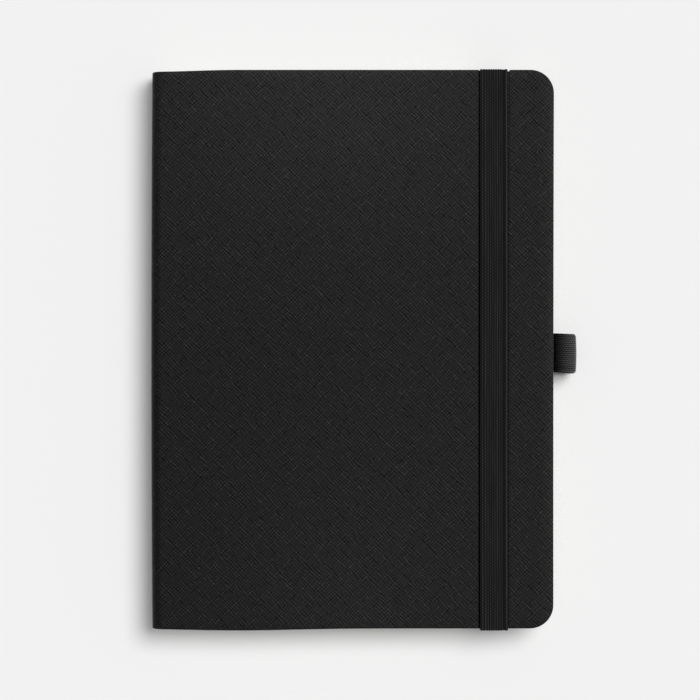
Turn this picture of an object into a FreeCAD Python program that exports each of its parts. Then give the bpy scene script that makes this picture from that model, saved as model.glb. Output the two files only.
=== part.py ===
import FreeCAD, Part
import math
import os

# Hard-backed, thread-sewn A5 sketchbook with a lengthwise elastic closure band and a pen loop.
# Frame: origin at the centre of the back cover's outer face, which lies on z = 0.
# +X runs from the spine to the fore-edge, +Y to the head of the book,
# +Z up through the pages to the front cover. Lengths are millimetres, angles degrees.

# ---- covers and spine ----
COVER_W = 153.6          # spine back to cover fore-edge
COVER_H = 214.0          # tail to head
COVER_CORNER_R = 9.0     # the two fore-edge corners of each cover
SKIN_T = 0.5             # covering material
TURN_IN_W = 12.0         # covering folded over on to the inside of each board
TURN_IN_T = 0.4
TURN_IN_CORNER_R = 2.0
COVER_T = 1.7            # board and covering together
BOARD_SETBACK = 0.2      # from the start of the flat cover to the board
PASTEDOWN_T = 0.2
PASTEDOWN_INSET = 3.0
PASTEDOWN_SETBACK = 0.16   # from the section folds
SPINE_R = 4.0            # the covering turns into the spine on this radius
SPINE_CARD_T = 0.4
SPINE_CARD_INSET = 2.0   # at head and tail
SEAM = 0.15              # angle left out on each side of the covering's division

# ---- leaves ----
LEAF_W = 148.0           # A5 leaf
LEAF_H = 210.0
LEAF_T = 0.16
LEAF_PITCH = 0.17
LEAF_CORNER_R = 7.0
SHEET_GAP = 0.005
SECTIONS = 9
BIFOLIOS = 4             # nested folded sheets in each section
FOLD_BACK = 1.8          # how far the section folds sit behind the edge of the flat covers
FLYLEAF_SETBACK = 0.1    # this and the next two are measured from the folds
CENTRE_LEAF_SETBACK = 0.75
CENTRE_CLEAR_DEPTH = 0.70   # room for the stitches in the middle section's fold
CENTRE_CLEAR_HALF = 0.14    # half that room's height
HALF_REACH = 5.0         # more than half a section's thickness

# ---- sewing ----
STATIONS = (-88.0, -60.0, -20.0, 20.0, 60.0, 88.0)   # y of the sewing holes along each fold
STITCHES = tuple(zip(STATIONS[::2], STATIONS[1::2]))   # first and last hole of each stitch
THREAD_HALF = 0.09       # half the thread's thickness
HOLE_HALF = THREAD_HALF + 0.03
THREAD_DEPTH = 0.92      # of the long stitches inside each fold
LINK_BACK = 0.13         # the links between sections sit this far behind the folds
CENTRE_STITCH_BACK = 0.18
CENTRE_STITCH_DEPTH = 0.45

# ---- spine lining ----
GLUE_T = 0.28            # from the folds to the glue's back
GLUE_GAP = 0.02          # between folds and glue, and at the ends of the lining in z
GLUE_INSET = 2.0         # at head and tail
GLUE_SLOT_HALF = 0.14    # slots in the glue for the thread links
GLUE_SLOT_FLOOR = 0.03   # glue left behind the slots
MULL_T = 0.20
MULL_INSET = 6.0
END_BAND_R = 0.62        # bead of the head and tail bands
END_BAND_GAP = 0.08      # between leaf ends and bead
END_BAND_INSET = 0.1     # from the ends of the lining in z
BEAD_X = 0.25            # bead centre, from the folds towards the fore-edge
NECK_HALF = 0.3          # half the height of the neck that joins bead and tape
TAPE_T = 0.14
TAPE_L = 8.0             # tape length over the leaves

# ---- closure band and pen loop ----
BAND_W = 10.5
BAND_T = 0.8
BAND_X = 54.3
BAND_END_L = 17.0
GLUED_END_Z = 0.92       # bottom of the glued ends, in recesses in the back board
BAND_CLEAR = 0.05        # band to cover edges, and beside the glued ends
BAND_LIFT = 0.02         # band above the front cover
BAND_END_GAP = 0.05      # between the band and its glued ends
BAND_FILLET = BAND_T * 0.95
SLOT_UNDERCUT = 0.02     # recess below the glued end
SLOT_END_CLEAR = 0.1     # recess beyond the inner end of the glued end

LOOP_LEN = 15.0          # along Y
LOOP_Y = -1.7
LOOP_R_IN = 4.1
LOOP_WALL = 0.7
LOOP_X = 81.9
LOOP_LIFT = 0.1          # loop above its tab
LOOP_FOOT_GAP = 0.2      # cover fore-edge to the loop's foot
LOOP_TAB_L = 16.0
LOOP_TAB_OVERHANG = 0.1

PAST = 1.0               # how far cutters run past a face
TOL = 1e-6               # for picking edges

# ---- derived ----
X_FORE = COVER_W / 2.0
X_SPINE = -COVER_W / 2.0
X_HINGE = X_SPINE + SPINE_R                 # where the flat of each cover starts
COVER_HALF = COVER_H / 2.0
LEAF_HALF = LEAF_H / 2.0
PASTEDOWN_TOP = COVER_T + PASTEDOWN_T
SECTION_T = 2 * BIFOLIOS * LEAF_PITCH
SECTION_R = SECTION_T / 2.0
BLOCK_Z0 = PASTEDOWN_TOP + LEAF_PITCH
BOOK_T = 2 * BLOCK_Z0 + SECTIONS * SECTION_T     # closed thickness over both covers
Z_MID = BOOK_T / 2.0
X_FOLD = X_HINGE - FOLD_BACK
X_LEAF = X_FOLD + LEAF_W
X_THREAD = X_FOLD + THREAD_DEPTH
X_GLUE = X_FOLD - GLUE_T
X_MULL = X_GLUE - MULL_T
LINING_Z0 = BLOCK_Z0 + GLUE_GAP
LINING_Z1 = BOOK_T - BLOCK_Z0 - GLUE_GAP
BAND_X0 = BAND_X - BAND_W / 2
BAND_X1 = BAND_X + BAND_W / 2
BAND_Y_IN = COVER_HALF + BAND_CLEAR
BAND_Y_OUT = BAND_Y_IN + BAND_T
LOOP_Y0 = LOOP_Y - LOOP_LEN / 2
LOOP_Y1 = LOOP_Y + LOOP_LEN / 2

V = FreeCAD.Vector


# ---- helpers ----
def save(name, shape):
    shape.exportStep("parts/%s.step" % name)


def flip(shape):
    """Mirror a back-cover piece to the front-cover side of the book."""
    return shape.mirror(V(0, 0, Z_MID), V(0, 0, 1))


def box(x0, x1, y0, y1, z0, z1):
    return Part.makeBox(x1 - x0, y1 - y0, z1 - z0, V(x0, y0, z0))


def y_span(sign, inner, outer):
    """Low and high y of a span at the head (sign +1) or the tail (-1)."""
    return sorted((sign * inner, sign * outer))


def plate(x0, x1, y_half, r, z0, z1):
    """Flat plate with its two +X corners rounded."""
    tail, tail_arc_start, tail_arc_end, head_arc_start, head_arc_end, head = [
        V(x, y, z0) for x, y in (
            (x0, -y_half), (x1 - r, -y_half), (x1, -y_half + r),
            (x1, y_half - r), (x1 - r, y_half), (x0, y_half))]
    inset = r * (1 - math.sqrt(0.5))   # arc midpoint from each side of its corner
    tail_mid = V(x1 - inset, -y_half + inset, z0)
    head_mid = V(x1 - inset, y_half - inset, z0)
    edges = [
        Part.makeLine(tail, tail_arc_start),
        Part.Arc(tail_arc_start, tail_mid, tail_arc_end).toShape(),
        Part.makeLine(tail_arc_end, head_arc_start),
        Part.Arc(head_arc_start, head_mid, head_arc_end).toShape(),
        Part.makeLine(head_arc_end, head),
        Part.makeLine(head, tail),
    ]
    return Part.Face(Part.Wire(edges)).extrude(V(0, 0, z1 - z0))


def bend(x, z, r_out, r_in, start, end, y_half):
    """Part of a bent sheet: an arc in XZ about (x, z), drawn out along Y."""
    def at(r, degrees):
        a = math.radians(degrees)
        return V(x + r * math.cos(a), -y_half, z + r * math.sin(a))

    middle = 0.5 * (start + end)
    edges = [
        Part.Arc(at(r_out, start), at(r_out, middle), at(r_out, end)).toShape(),
        Part.makeLine(at(r_out, end), at(r_in, end)),
        Part.Arc(at(r_in, end), at(r_in, middle), at(r_in, start)).toShape(),
        Part.makeLine(at(r_in, start), at(r_out, start)),
    ]
    return Part.Face(Part.Wire(edges)).extrude(V(0, 2 * y_half, 0))


# ---- covers ----
# Each cover is a board wrapped in a covering whose edges are turned in. The covering's bend at
# the spine is divided half way round: one half turns with the cover, the other with the spine.
def spine_bend(z, start, end):
    return bend(X_HINGE, z, SPINE_R, SPINE_R - SKIN_T, start, end, COVER_HALF)


def inside_skin(x0, z0, z1):
    """Plate that fills the covering from edge to edge."""
    return plate(x0, X_FORE - SKIN_T, COVER_HALF - SKIN_T, COVER_CORNER_R - SKIN_T, z0, z1)


def inside_turn_in(x0, z0, z1):
    """Plate that fills the opening between the turned-in edges."""
    return plate(x0, X_FORE - TURN_IN_W, COVER_HALF - TURN_IN_W, TURN_IN_CORNER_R, z0, z1)


def cover_skin():
    z_turn_in = COVER_T - TURN_IN_T
    outer = plate(X_HINGE, X_FORE, COVER_HALF, COVER_CORNER_R, 0.0, COVER_T)
    cavity = inside_skin(X_HINGE - PAST, SKIN_T, z_turn_in)
    window = inside_turn_in(X_HINGE - PAST, z_turn_in - 0.2, COVER_T + PAST)
    skin = outer.cut(cavity).cut(window)
    return skin.fuse(spine_bend(SPINE_R, 225 + SEAM, 270)).removeSplitter()


def cover_board():
    x0 = X_HINGE + BOARD_SETBACK
    z_turn_in = COVER_T - TURN_IN_T
    low = inside_skin(x0, SKIN_T, z_turn_in)
    return low.fuse(inside_turn_in(x0, z_turn_in, COVER_T)).removeSplitter()


def cut_slots(shape):
    """Recess the back cover for the glued ends of the closure band and of the pen loop."""
    z0, z1 = GLUED_END_Z - SLOT_UNDERCUT, COVER_T + PAST
    for sign in (1, -1):
        y0, y1 = y_span(sign, COVER_HALF - BAND_END_L - SLOT_END_CLEAR, COVER_HALF + PAST)
        shape = shape.cut(box(BAND_X0 - BAND_CLEAR, BAND_X1 + BAND_CLEAR, y0, y1, z0, z1))
    return shape.cut(box(X_FORE - LOOP_TAB_L - SLOT_END_CLEAR, X_FORE + PAST,
                         LOOP_Y0 - BAND_CLEAR, LOOP_Y1 + BAND_CLEAR, z0, z1))


def pastedown():
    return plate(X_FOLD + PASTEDOWN_SETBACK, X_FORE - PASTEDOWN_INSET,
                 COVER_HALF - PASTEDOWN_INSET, LEAF_CORNER_R, COVER_T, PASTEDOWN_TOP)


def flyleaf():
    z0 = PASTEDOWN_TOP + SHEET_GAP
    return plate(X_FOLD + FLYLEAF_SETBACK, X_LEAF, LEAF_HALF, LEAF_CORNER_R, z0, z0 + LEAF_T)


# ---- spine ----
def spine_skin():
    z_top = BOOK_T - SPINE_R
    skin = spine_bend(SPINE_R, 180, 225 - SEAM)
    skin = skin.fuse(box(X_SPINE, X_SPINE + SKIN_T, -COVER_HALF, COVER_HALF, SPINE_R, z_top))
    return skin.fuse(spine_bend(z_top, 135 + SEAM, 180)).removeSplitter()


def spine_card():
    x0, y_half = X_SPINE + SKIN_T, COVER_HALF - SPINE_CARD_INSET
    return box(x0, x0 + SPINE_CARD_T, -y_half, y_half, SPINE_R, BOOK_T - SPINE_R)


# ---- sewn sections ----
def sheet_radius(k):
    """Outer fold radius of a section's k-th sheet; k = 0 is outermost."""
    return SECTION_R - k * LEAF_PITCH - SHEET_GAP


def bifolio(zc, k):
    """The k-th sheet of the section centred on zc, folded once at the spine."""
    r_out = sheet_radius(k)
    r_in = r_out - LEAF_T
    x0 = X_FOLD + SECTION_R
    sheet = bend(x0, zc, r_out, r_in, 90, 270, LEAF_HALF)
    for z0, z1 in ((zc + r_in, zc + r_out), (zc - r_out, zc - r_in)):
        sheet = sheet.fuse(box(x0, X_LEAF, -LEAF_HALF, LEAF_HALF, z0, z1))
    outline = plate(X_FOLD - PAST, X_LEAF, LEAF_HALF, LEAF_CORNER_R, 0, BOOK_T)
    return sheet.removeSplitter().common(outline)


def section(zc):
    """Whole section, with room for the thread's legs and long stitches."""
    h = HOLE_HALF
    holes = [box(X_FOLD - PAST, X_THREAD, y - h, y + h, zc - h, zc + h) for y in STATIONS]
    holes += [box(X_THREAD - h, X_THREAD + h, ya - h, yb + h, zc - h, zc + h)
              for ya, yb in STITCHES]
    solids = []
    for k in range(BIFOLIOS):
        sheet = bifolio(zc, k)
        for hole in holes:
            sheet = sheet.cut(hole)
        solids += sheet.Solids
    return Part.makeCompound(solids)


def half_section(zc, z0, z1, count):
    """The section's outer sheets between z0 and z1, on one side of where the book opens flat."""
    keep = box(X_FOLD - PAST, X_LEAF + PAST, -COVER_HALF, COVER_HALF, z0, z1)
    clear = box(X_FOLD - PAST, X_FOLD + CENTRE_CLEAR_DEPTH, -COVER_HALF, COVER_HALF,
                zc - CENTRE_CLEAR_HALF, zc + CENTRE_CLEAR_HALF)
    solids = []
    for k in range(count):
        solids += bifolio(zc, k).common(keep).cut(clear).Solids
    return Part.makeCompound(solids)


def centre_leaf():
    """One leaf of the middle section's innermost sheet, which turns on its own."""
    return plate(X_FOLD + CENTRE_LEAF_SETBACK, X_LEAF, LEAF_HALF, LEAF_CORNER_R,
                 Z_MID + SHEET_GAP, Z_MID + sheet_radius(BIFOLIOS - 1))


# ---- sewing thread ----
def stitches(zc, x_out, x_in):
    """Long stitches inside a fold, each with a leg at both ends out through the holes."""
    h = THREAD_HALF
    solids = []
    for ya, yb in STITCHES:
        points = [(x_out, ya - h), (x_in + h, ya - h), (x_in + h, yb + h), (x_out, yb + h),
                  (x_out, yb - h), (x_in - h, yb - h), (x_in - h, ya + h), (x_out, ya + h)]
        wire = Part.makePolygon([V(x, y, zc - h) for x, y in points + points[:1]])
        solids.append(Part.Face(wire).extrude(V(0, 0, 2 * h)))
    return solids


def thread(centres):
    """Stitches inside each fold, and the links from section to section behind the folds."""
    h = THREAD_HALF
    x_link = X_FOLD - LINK_BACK
    solids = []
    for zc in centres:
        solids += stitches(zc, x_link + h, X_THREAD)
    solids += [box(x_link - h, x_link + h, y - h, y + h, centres[0] - h, centres[-1] + h)
               for y in STATIONS]
    return Part.makeCompound(solids)


# ---- spine lining ----
def spine_glue():
    y_half = LEAF_HALF - GLUE_INSET
    glue = box(X_GLUE, X_FOLD - GLUE_GAP, -y_half, y_half, LINING_Z0, LINING_Z1)
    for y in STATIONS:
        glue = glue.cut(box(X_GLUE + GLUE_SLOT_FLOOR, X_FOLD + PAST,
                            y - GLUE_SLOT_HALF, y + GLUE_SLOT_HALF,
                            LINING_Z0 - PAST, LINING_Z1 + PAST))
    return glue


def spine_mull():
    y_half = LEAF_HALF - MULL_INSET
    return box(X_MULL, X_GLUE, -y_half, y_half, LINING_Z0, LINING_Z1)


def end_band(sign):
    """Bead over the leaves' ends, with a neck to a tape behind the lining."""
    z0, z1 = LINING_Z0 + END_BAND_INSET, LINING_Z1 - END_BAND_INSET
    x_bead = X_FOLD + BEAD_X
    y_bead = LEAF_HALF + END_BAND_GAP + END_BAND_R
    x_tape = X_MULL - TAPE_T
    bead = Part.makeCylinder(END_BAND_R, z1 - z0, V(x_bead, sign * y_bead, z0))
    tape = box(x_tape, X_MULL, *y_span(sign, LEAF_HALF - TAPE_L, y_bead + NECK_HALF), z0, z1)
    neck = box(x_tape, x_bead, *y_span(sign, y_bead - NECK_HALF, y_bead + NECK_HALF), z0, z1)
    return bead.fuse(neck).fuse(tape).removeSplitter()


# ---- closure band ----
def closure_band():
    z_in = BOOK_T + BAND_LIFT
    z_out = z_in + BAND_T
    band = box(BAND_X0, BAND_X1, -BAND_Y_OUT, BAND_Y_OUT, COVER_T + BAND_END_GAP, z_out)
    band = band.cut(box(BAND_X - BAND_W, BAND_X + BAND_W, -BAND_Y_IN, BAND_Y_IN, -PAST, z_in))

    def is_outer_corner(bounds):
        """The band's top edges along X, at head and tail."""
        return (abs(bounds.ZMin - z_out) < TOL and abs(bounds.ZMax - z_out) < TOL
                and bounds.YLength < TOL and abs(abs(bounds.YMin) - BAND_Y_OUT) < TOL)

    corners = [edge for edge in band.Edges if is_outer_corner(edge.BoundBox)]
    return band.makeFillet(BAND_FILLET, corners)


def band_end(sign):
    y0, y1 = y_span(sign, COVER_HALF - BAND_END_L, BAND_Y_OUT)
    return box(BAND_X0, BAND_X1, y0, y1, GLUED_END_Z, COVER_T)


# ---- pen loop ----
def pen_loop():
    """Ring along Y with a flat foot towards the cover."""
    z0 = COVER_T + LOOP_LIFT
    r_out = LOOP_R_IN + LOOP_WALL

    def rod(r, y0, y1):
        return Part.makeCylinder(r, y1 - y0, V(LOOP_X, y0, z0 + r_out), V(0, 1, 0))

    ring = rod(r_out, LOOP_Y0, LOOP_Y1)
    ring = ring.fuse(box(X_FORE + LOOP_FOOT_GAP, LOOP_X, LOOP_Y0, LOOP_Y1, z0, z0 + LOOP_WALL))
    return ring.cut(rod(LOOP_R_IN, LOOP_Y0 - PAST, LOOP_Y1 + PAST)).removeSplitter()


def pen_loop_tab():
    return box(X_FORE - LOOP_TAB_L, X_FORE + LOOP_TAB_OVERHANG, LOOP_Y0, LOOP_Y1,
               GLUED_END_Z, COVER_T)


# ---- build ----
os.makedirs("parts", exist_ok=True)

for name, piece in (("cover_skin", cover_skin()), ("board", cover_board())):
    save("front_" + name, flip(piece))
    save("back_" + name, cut_slots(piece))
for name, piece in (("pastedown", pastedown()), ("flyleaf", flyleaf())):
    save("front_" + name, flip(piece))
    save("back_" + name, piece)
save("spine_skin", spine_skin())
save("spine_card", spine_card())

centres = [BLOCK_Z0 + SECTION_T * (i + 0.5) for i in range(SECTIONS)]
mid = SECTIONS // 2
zc = centres[mid]
for i, z in enumerate(centres):
    if i != mid:
        save("section_%02d" % (i + 1), section(z))
save("section_05_back_half", half_section(zc, zc - HALF_REACH, zc, BIFOLIOS))
save("section_05_front_half", half_section(zc, zc, zc + HALF_REACH, BIFOLIOS - 1))
save("centre_leaf", centre_leaf())

save("sewing_thread_back", thread(centres[:mid]))
save("sewing_thread_front", thread(centres[mid + 1:]))
save("centre_stitches", Part.makeCompound(
    stitches(Z_MID, X_FOLD - CENTRE_STITCH_BACK, X_FOLD + CENTRE_STITCH_DEPTH)))

save("spine_glue", spine_glue())
save("spine_mull", spine_mull())
save("headband", end_band(+1))
save("tailband", end_band(-1))

save("closure_band", closure_band())
save("band_end_head", band_end(+1))
save("band_end_tail", band_end(-1))
save("pen_loop", pen_loop())
save("pen_loop_tab", pen_loop_tab())
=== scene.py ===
"""A closed, sewn notebook with rounded fore-edge corners, an elastic closure band and a pen loop.

It lies on its back cover: z = 0 is the back cover's outer face and BOOK_Z the front cover's. The spine
is at -X, the fore-edge at +X, the head at +Y and the tail at -Y. Lengths are in mm until a mesh is
made; Blender's own values are in metres.
"""
import math
import bmesh
import bpy
import numpy as np
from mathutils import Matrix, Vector


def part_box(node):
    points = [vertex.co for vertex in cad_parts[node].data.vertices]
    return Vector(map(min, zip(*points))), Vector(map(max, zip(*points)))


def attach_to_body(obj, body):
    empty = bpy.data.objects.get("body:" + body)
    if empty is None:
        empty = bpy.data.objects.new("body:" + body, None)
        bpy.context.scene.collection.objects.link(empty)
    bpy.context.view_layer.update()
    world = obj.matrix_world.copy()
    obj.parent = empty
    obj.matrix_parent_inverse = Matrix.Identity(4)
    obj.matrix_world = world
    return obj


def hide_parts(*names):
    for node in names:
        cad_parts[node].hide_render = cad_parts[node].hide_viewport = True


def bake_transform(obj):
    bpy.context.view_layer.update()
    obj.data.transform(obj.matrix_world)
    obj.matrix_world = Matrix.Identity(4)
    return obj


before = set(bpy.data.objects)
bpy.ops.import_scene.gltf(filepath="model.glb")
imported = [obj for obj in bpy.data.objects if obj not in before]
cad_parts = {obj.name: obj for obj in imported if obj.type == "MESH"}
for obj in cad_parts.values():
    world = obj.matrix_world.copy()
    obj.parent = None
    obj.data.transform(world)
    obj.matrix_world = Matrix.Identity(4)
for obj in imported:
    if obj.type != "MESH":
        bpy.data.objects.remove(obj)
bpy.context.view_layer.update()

MM = 0.001
rng = np.random.default_rng(7)


# ---- sizes and places, in mm -----------------------------------------------------------------------
def node_box(node):
    """The low and high corners of a CAD piece."""
    low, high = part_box(node)
    return np.array(low) * 1000, np.array(high) * 1000


# covers
FORE_X, HALF_Y, BOOK_Z = node_box("front_cover_skin")[1]
COVER_Z = node_box("back_cover_skin")[1][2]
SPINE_X = node_box("spine_skin")[0][0]
HINGE_X = node_box("front_board")[0][0] - 0.2
BEND_R = HINGE_X - SPINE_X      # the covering's bend from each cover into the spine
BEND_ARC = math.pi / 2 * BEND_R
SPINE_FLAT = BOOK_Z - 2 * BEND_R
CORNER_R = 9.0
OUTER_EDGE_R = 0.55
INNER_EDGE_R = 0.40
SKIN_Z = 0.5
TURN_IN = 7.6                   # width of covering folded over inside the edges
PILLOW = 0.10                   # rise of the front face at its middle

# leaves
section_low, section_high = node_box("section_01")
FOLD_X = section_low[0]
LEAF_X, LEAF_HALF_Y = section_high[:2]
LEAF_CORNER_R = 7.0
LEAF_PITCH = 0.17
LEAF_Z = 0.146
SECTIONS = 9
SHEETS = 4                      # folded sheets in a section
SECTION_Z = 2 * SHEETS * LEAF_PITCH
BLOCK_Z0 = COVER_Z + 0.2 + LEAF_PITCH
LEAF_BEND = 15.0                # length beside the fold, passed on in each section's blend, which attach() does not read

# closure band, lying a touch nearer the spine than its CAD place
band_low, band_high = node_box("closure_band")
BAND_W = band_high[0] - band_low[0]
BAND_HALF = BAND_W / 2
BAND_X = (band_low[0] + band_high[0]) / 2 - 0.12
BAND_Z = 0.78
BAND_END = 17.1                 # reach of the recesses for its ends, from head and tail
CREASE_X = BAND_X - BAND_HALF - 0.27
CREASE_W = 0.42
HEAD_PRESS = 5.0                # the band's pull at the head fades out over this length

# pen loop
loop_low, loop_high = node_box("pen_loop")
LOOP_Y0, LOOP_Y1 = loop_low[1], loop_high[1]
LOOP_Y = (LOOP_Y0 + LOOP_Y1) / 2
LOOP_HALF = (LOOP_Y1 - LOOP_Y0) / 2
LOOP_R = (loop_high[2] - loop_low[2]) / 2
LOOP_CENTRE = np.array([loop_high[0] - LOOP_R, (loop_high[2] + loop_low[2]) / 2])   # x, z
LOOP_TAB_X = node_box("pen_loop_tab")[0][0]
LOOP_Z = 0.66
LOOP_TAB_Z = 1.28


# ---- meshes ----------------------------------------------------------------------------------------
def grid_faces(rows, columns, base, flip):
    i, j = np.meshgrid(np.arange(rows - 1), np.arange(columns - 1), indexing="ij")
    corner = base + i * columns + j
    quads = [corner, corner + columns, corner + columns + 1, corner + 1]
    quads = np.stack(quads, -1).reshape(-1, 4)
    return quads[:, ::-1] if flip else quads


def build(name, patches, materials, sharp=40, merge=0.0015, warp=None):
    """One object from patches of (points (n, m, 3), uv (n, m, 2), flip, material index).
    Points closer than merge are joined; edges steeper than sharp degrees are sharp."""
    verts, faces, uvs, slots, base = [], [], [], [], 0
    for points, uv, flip, slot in patches:
        rows, columns = points.shape[:2]
        quads = grid_faces(rows, columns, base, flip)
        verts.append(points.reshape(-1, 3))
        faces.append(quads)
        uvs.append(uv.reshape(-1, 2))
        slots += [slot] * len(quads)
        base += rows * columns
    verts, faces, uvs = np.concatenate(verts), np.concatenate(faces), np.concatenate(uvs)
    if warp is not None:
        verts = warp(verts)
    mesh = bpy.data.meshes.new(name)
    mesh.from_pydata((verts * MM).tolist(), [], faces.tolist())
    layer = mesh.uv_layers.new(name="grain")
    loop_verts = np.zeros(len(mesh.loops), np.int32)
    mesh.loops.foreach_get("vertex_index", loop_verts)
    # one UV unit is 100 mm
    layer.data.foreach_set("uv", (uvs[loop_verts] / 100.0).astype(np.float32).ravel())
    mesh.polygons.foreach_set("material_index", np.array(slots, np.int32))
    bm = bmesh.new()
    bm.from_mesh(mesh)
    bmesh.ops.remove_doubles(bm, verts=bm.verts, dist=merge * MM)
    bmesh.ops.dissolve_degenerate(bm, edges=bm.edges, dist=1e-8)
    bmesh.ops.recalc_face_normals(bm, faces=bm.faces)
    bm.to_mesh(mesh)
    bm.free()
    mesh.polygons.foreach_set("use_smooth", np.ones(len(mesh.polygons), bool))
    mesh.set_sharp_from_angle(angle=math.radians(sharp))
    for material in materials:
        mesh.materials.append(material)
    obj = bpy.data.objects.new(name, mesh)
    bpy.context.scene.collection.objects.link(obj)
    return obj


def shell(outer, inner, uv, edge_slot=0):
    """A closed skin between two grids of one shape, joined along all four borders."""
    patches = [(outer, uv, False, 0), (inner, uv, True, 0)]
    for border in (np.s_[0, :], np.s_[-1, :], np.s_[:, 0], np.s_[:, -1]):
        points = np.stack([outer[border], inner[border]], 0)
        gap = np.linalg.norm(outer[border] - inner[border], axis=-1)
        border_uv = np.stack([uv[border], uv[border] + np.stack([gap, gap], -1) * 0.7], 0)
        patches.append((points, border_uv, False, edge_slot))
    return patches


def round_drop(distance, radius):
    """How far a rounded edge falls below its face, by distance from the border."""
    distance = np.clip(distance, 0, radius)
    return radius - np.sqrt(np.maximum(radius * radius - (radius - distance) ** 2, 0))


def smooth_step(t):
    t = np.clip(t, 0, 1)
    return t * t * (3 - 2 * t)


def attach(obj, slot, *replaced, ride=None, blend=None):
    """blend: (first part, second part, start point, end point); only whether it is given is read, and
    then the object's transform is baked into its mesh.
    """
    if ride:
        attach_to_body(obj, ride)
    if blend:
        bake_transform(obj)
    if replaced:
        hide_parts(*replaced)


# ---- materials -------------------------------------------------------------------------------------
class Material:
    """A node material with one Principled surface. Inputs take a socket or a plain value."""

    def __init__(self, name):
        self.data = bpy.data.materials.new(name)
        self.data.use_nodes = True
        self.tree = self.data.node_tree
        self.tree.nodes.clear()
        output = self.node("ShaderNodeOutputMaterial")
        self.surface = self.node("ShaderNodeBsdfPrincipled")
        self.feed(output.inputs[0], self.surface.outputs[0])

    def node(self, kind, **settings):
        node = self.tree.nodes.new(kind)
        for key, value in settings.items():
            setattr(node, key, value)
        return node

    def feed(self, socket, value):
        if isinstance(value, bpy.types.NodeSocket):
            self.tree.links.new(value, socket)
        else:
            socket.default_value = value

    def math(self, operation, *values, clamp=False):
        node = self.node("ShaderNodeMath", operation=operation, use_clamp=clamp)
        for socket, value in zip(node.inputs, values):
            self.feed(socket, value)
        return node.outputs[0]

    def add(self, *values, clamp=False):
        return self.math("ADD", *values, clamp=clamp)

    def sub(self, *values):
        return self.math("SUBTRACT", *values)

    def mul(self, *values):
        return self.math("MULTIPLY", *values)

    def level(self, value, gain, offset, clamp=False):
        """value * gain + offset"""
        return self.math("MULTIPLY_ADD", value, gain, offset, clamp=clamp)

    def wave(self, value, wave_number):
        return self.math("SINE", self.mul(value, wave_number))

    def ratio(self, value, centre, width):
        return self.math("DIVIDE", self.sub(value, centre), width)

    def bell(self, squared):
        return self.math("EXPONENT", self.mul(squared, -1.0))

    def smooth_range(self, value, start, end, low, high):
        node = self.node("ShaderNodeMapRange", interpolation_type="SMOOTHSTEP")
        self.feed(node.inputs["Value"], value)
        limits = {"From Min": start, "From Max": end, "To Min": low, "To Max": high}
        for key, limit in limits.items():
            node.inputs[key].default_value = limit
        return node.outputs[0]

    def vector(self, operation, source, amount):
        node = self.node("ShaderNodeVectorMath", operation=operation)
        self.feed(node.inputs[0], source)
        self.feed(node.inputs["Scale" if operation == "SCALE" else 1], amount)
        return node.outputs[0]

    def combine(self, *values):
        node = self.node("ShaderNodeCombineXYZ")
        for socket, value in zip(node.inputs, values):
            self.feed(socket, value)
        return node.outputs[0]

    def split(self, vector):
        node = self.node("ShaderNodeSeparateXYZ")
        self.feed(node.inputs[0], vector)
        return node.outputs[0], node.outputs[1], node.outputs[2]

    def noise(self, vector, scale, detail=2.0, roughness=0.5):
        node = self.node("ShaderNodeTexNoise")
        node.inputs["Scale"].default_value = scale
        node.inputs["Detail"].default_value = detail
        node.inputs["Roughness"].default_value = roughness
        self.feed(node.inputs["Vector"], vector)
        return node.outputs["Fac"]

    def ramp(self, value, stops):
        """stops: (position, grey or RGB)"""
        node = self.node("ShaderNodeValToRGB")
        self.feed(node.inputs[0], value)
        elements = node.color_ramp.elements
        while len(elements) < len(stops):
            elements.new(0.5)
        for element, (position, colour) in zip(elements, stops):
            element.position = position
            rgb = (colour,) * 3 if isinstance(colour, float) else colour
            element.color = (*rgb, 1)
        return node.outputs[0]

    def multiply_colours(self, first, second):
        node = self.node("ShaderNodeMix", data_type="RGBA", blend_type="MULTIPLY")
        for index, value in ((0, 1.0), (6, first), (7, second)):
            self.feed(node.inputs[index], value)
        return node.outputs[2]

    def bump(self, height, distance, strength):
        """distance is in metres."""
        node = self.node("ShaderNodeBump")
        node.inputs["Strength"].default_value = strength
        node.inputs["Distance"].default_value = distance
        self.feed(node.inputs["Height"], height)
        return node.outputs[0]

    def uv(self):
        """u, v and the UV vector, in the units given to build()."""
        node = self.node("ShaderNodeUVMap", uv_map="grain")
        vector = self.vector("SCALE", node.outputs[0], 100.0)
        u, v, _ = self.split(vector)
        return u, v, vector

    def position(self):
        """The place on the object, in mm."""
        node = self.node("ShaderNodeTexCoord")
        return self.vector("SCALE", node.outputs["Object"], 1000.0)

    def shade(self, colour, roughness, normal=None, specular=None, sheen=None,
              sheen_roughness=None):
        """Feeds the surface and returns the finished material."""
        inputs = {"Base Color": colour, "Roughness": roughness, "Normal": normal,
                  "Specular IOR Level": specular, "Sheen Weight": sheen,
                  "Sheen Roughness": sheen_roughness}
        for key, value in inputs.items():
            if value is not None:
                self.feed(self.surface.inputs[key], value)
        return self.data


GRAIN_PITCH = 1.02
# Faint differences of tone on the covers: centre u, centre v, radius u, radius v, gain
TONE_SPOTS = (
    (-8.0, 108.0, 70.0, 58.0, 0.200),       # painted highlight, lighter towards the head
    (-6.0, -107.0, 46.0, 52.0, 0.078),      # lighter at the tail
    (-68.0, -80.0, 40.0, 60.0, -0.055),     # painted shade, darker by the spine, towards the tail
    (-45.0, -5.0, 30.0, 40.0, -0.025),      # painted shade, darker by the spine, at mid height
    (0.0, 107.6, 95.0, 2.9, 0.150),         # painted highlight along the head edge
    (76.3, 30.0, 1.2, 150.0, 0.130),        # painted highlight along the fore-edge
)


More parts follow.
